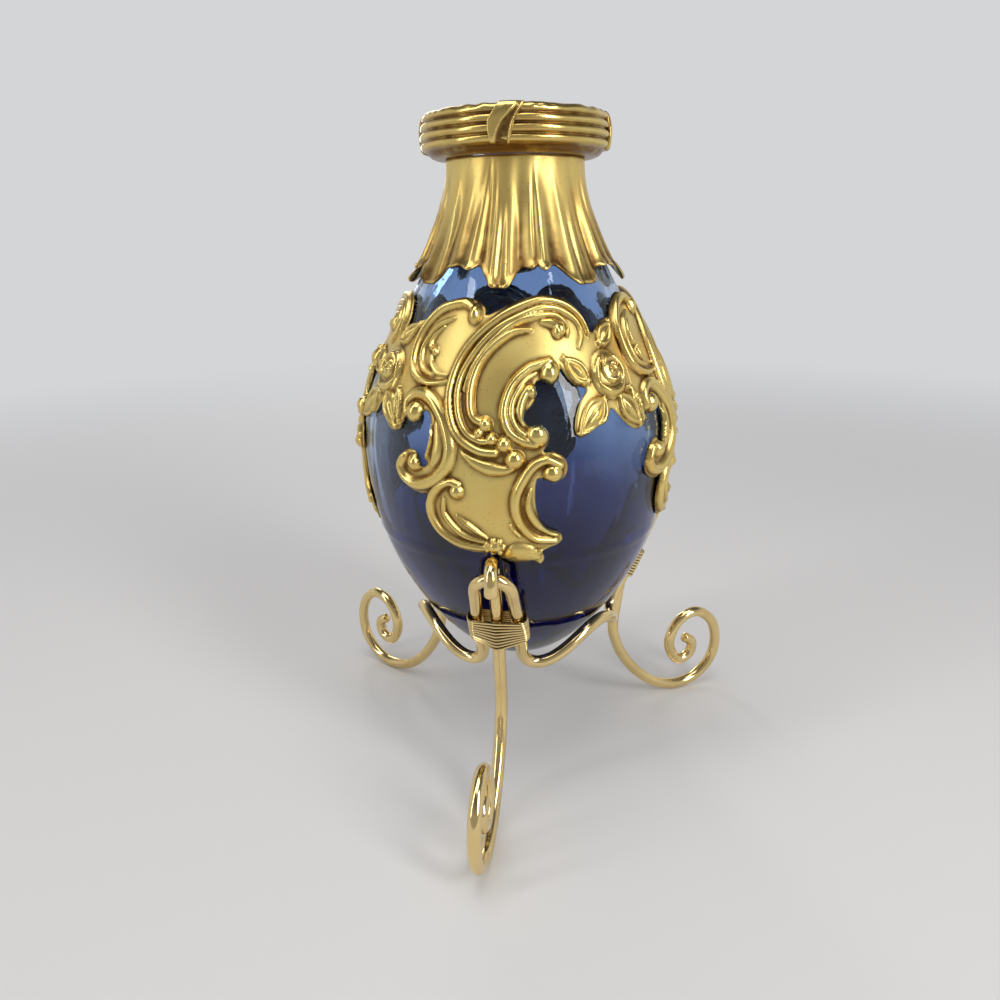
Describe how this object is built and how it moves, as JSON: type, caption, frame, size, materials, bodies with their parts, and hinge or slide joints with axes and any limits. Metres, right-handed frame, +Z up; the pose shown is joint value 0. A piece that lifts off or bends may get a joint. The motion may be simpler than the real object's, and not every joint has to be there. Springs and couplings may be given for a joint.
{
  "type": "vase on stand",
  "caption": "Egg-shaped cobalt glass vase with a gilt rim, a pleated collar and rocaille mounts, resting in the cradle of a scroll-footed brass wire stand.",
  "frame": {"origin": "on the floor, under the middle of the bounding box; the vase's axis stands 13 mm behind it", "axes": "+Z up along the vase's axis; the front leg points along -Y; +X is to the right of someone who looks at the front leg"},
  "size_m": [0.1136, 0.1048, 0.1557],
  "materials": {
    "cobalt_glass": "deep blue, glossy, almost opaque",
    "gilt_metal": "stamped and gilt, satin field with polished ridges",
    "brass_wire": "polished round wire"
  },
  "bodies": {
    "stand": {"cradle_wire": "brass_wire", "leg_wire_1": "brass_wire", "leg_wire_2": "brass_wire", "leg_wire_3": "brass_wire", "leg_binding_1": "brass_wire", "leg_binding_2": "brass_wire", "leg_binding_3": "brass_wire"},
    "vase": {"glass_vase": "cobalt_glass", "rim_band": "gilt_metal", "neck_collar": "gilt_metal", "rocaille_panel_1": "gilt_metal", "rocaille_panel_2": "gilt_metal", "rocaille_panel_3": "gilt_metal", "rocaille_panel_4": "gilt_metal", "rose_spray_1": "gilt_metal", "rose_spray_2": "gilt_metal", "rose_spray_3": "gilt_metal", "rose_spray_4": "gilt_metal"}
  },
  "joints": [
    {"name": "vase_lift", "type": "slide", "parent": "stand", "child": "vase", "axis": [0, 0, 1], "range_m": [0, 0.06]}
  ]
}
